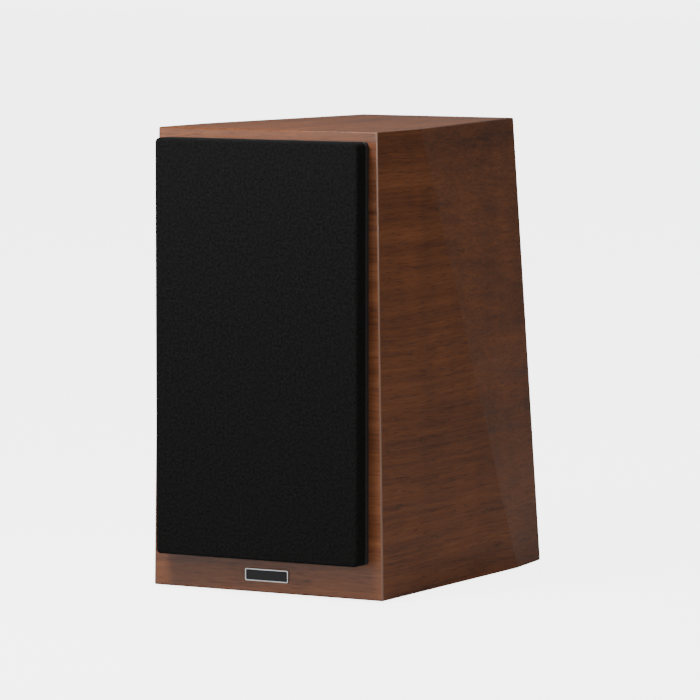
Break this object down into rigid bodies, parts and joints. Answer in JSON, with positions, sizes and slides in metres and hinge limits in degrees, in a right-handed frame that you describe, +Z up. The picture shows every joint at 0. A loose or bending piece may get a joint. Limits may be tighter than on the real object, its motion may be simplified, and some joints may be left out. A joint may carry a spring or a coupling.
{
  "type": "bookshelf speaker",
  "caption": "Two-way bookshelf speaker: tapered, faceted walnut cabinet with a pull-off cloth grille over a horn tweeter and a woofer behind a perforated lens, port and posts at the back.",
  "frame": {"origin": "middle of the box round the whole speaker, grille fitted, on the surface that the pads stand on", "axes": "+Z up, the front faces -Y, +X to the right of someone who faces the grille"},
  "size_m": [0.171, 0.251, 0.3015],
  "materials": {
    "walnut": "satin walnut veneer, grain running front to back on the sides",
    "back_black": "black vinyl on board",
    "board": "bare medium-density fibreboard",
    "baffle_black": "satin charcoal",
    "badge_dark": "dark plate with a bright border",
    "pad_rubber": "matt",
    "magnet_nickel": "nickel plated",
    "fibre": "loose white fibre",
    "grille_black": "matt black",
    "grille_cloth": "charcoal acoustic knit",
    "horn_black": "satin moulded",
    "trim_silver": "bright turned ring",
    "screw_black": "blackened steel",
    "dome_gloss": "gloss black",
    "roll_rubber": "soft matt",
    "copper": "enamelled copper wire",
    "steel": "zinc plated",
    "ferrite": "pressed ferrite",
    "lens_black": "satin moulded",
    "basket_grey": "powder-coated casting",
    "gasket_foam": "closed foam",
    "cone_black": "coated pulp",
    "spider_cloth": "resin-treated cloth",
    "port_black": "moulded",
    "brass": "gold plated",
    "grip_black": "moulded",
    "grip_red": "moulded",
    "circuit_board": "solder mask",
    "post_metal": "plain",
    "capacitor_film": "yellow film wrap",
    "resistor_body": "white cement",
    "lead_red": "insulated wire",
    "lead_black": "insulated wire"
  },
  "bodies": {
    "cabinet": {"front_panel": "walnut", "back_panel": "back_black", "side_panel_left": "walnut", "side_panel_right": "walnut", "top_panel": "walnut", "bottom_panel": "walnut", "window_brace": "board", "baffle": "baffle_black", "badge": "badge_dark", "pads": "pad_rubber", "baffle_magnets": "magnet_nickel", "wadding_left": "fibre", "wadding_right": "fibre", "waveguide": "horn_black", "tweeter_ring": "trim_silver", "tweeter_screws": "screw_black", "tweeter_surround": "roll_rubber", "tweeter_plate": "steel", "tweeter_magnet": "ferrite", "tweeter_yoke": "steel", "tweeter_motor_screws": "steel", "woofer_ring": "trim_silver", "slotted_flange": "lens_black", "lens": "lens_black", "basket": "basket_grey", "gasket": "gasket_foam", "woofer_screws": "screw_black", "woofer_surround": "roll_rubber", "spider": "spider_cloth", "woofer_plate": "steel", "woofer_magnet": "ferrite", "woofer_yoke": "steel", "driver_tags": "brass", "port_tube": "port_black", "terminal_cup": "port_black", "cup_screws": "screw_black", "post_stems": "brass", "crossover_board": "circuit_board", "standoffs": "post_metal", "woofer_inductor": "copper", "tweeter_inductor": "copper", "capacitors": "capacitor_film", "resistors": "resistor_body", "input_leads": "lead_red", "woofer_leads": "lead_black", "tweeter_leads": "lead_black"},
    "grille": {"grille_frame": "grille_black", "grille_cloth": "grille_cloth", "grille_magnets": "magnet_nickel"},
    "woofer_motion": {"cone": "cone_black", "dust_cap": "cone_black", "woofer_coil": "copper"},
    "tweeter_motion": {"tweeter_dome": "dome_gloss", "tweeter_coil": "copper"},
    "clamp_left": {"washer_left": "brass"},
    "knob_left": {"nut_left": "brass", "grip_left": "grip_black"},
    "clamp_right": {"washer_right": "brass"},
    "knob_right": {"nut_right": "brass", "grip_right": "grip_red"}
  },
  "joints": [
    {"name": "grille_pull", "type": "slide", "parent": "cabinet", "child": "grille", "axis": [0, -1, 0], "range_m": [0, 0.3]},
    {"name": "woofer_travel", "type": "slide", "parent": "cabinet", "child": "woofer_motion", "axis": [0, -1, 0], "range_m": [-0.004, 0.004], "stiffness_N_per_m": 900, "deforming": ["woofer_surround", "spider"]},
    {"name": "tweeter_travel", "type": "slide", "parent": "cabinet", "child": "tweeter_motion", "axis": [0, -1, 0], "range_m": [-0.0003, 0.0003], "stiffness_N_per_m": 500, "deforming": ["tweeter_surround"]},
    {"name": "clamp_left_slide", "type": "slide", "parent": "cabinet", "child": "clamp_left", "axis": [0, 1, 0], "range_m": [0, 0.0041]},
    {"name": "knob_left_turn", "type": "hinge", "parent": "clamp_left", "child": "knob_left", "pos_m": [-0.019, 0.107, 0.0755], "axis": [0, 1, 0], "range_deg": [0, 1440]},
    {"name": "clamp_right_slide", "type": "slide", "parent": "cabinet", "child": "clamp_right", "axis": [0, 1, 0], "range_m": [0, 0.0041]},
    {"name": "knob_right_turn", "type": "hinge", "parent": "clamp_right", "child": "knob_right", "pos_m": [0.019, 0.107, 0.0755], "axis": [0, 1, 0], "range_deg": [0, 1440]}
  ],
  "couplings": [
    {"joint": "clamp_left_slide", "follows": "knob_left_turn", "m_per_rad": 0.00015915},
    {"joint": "clamp_right_slide", "follows": "knob_right_turn", "m_per_rad": 0.00015915}
  ]
}
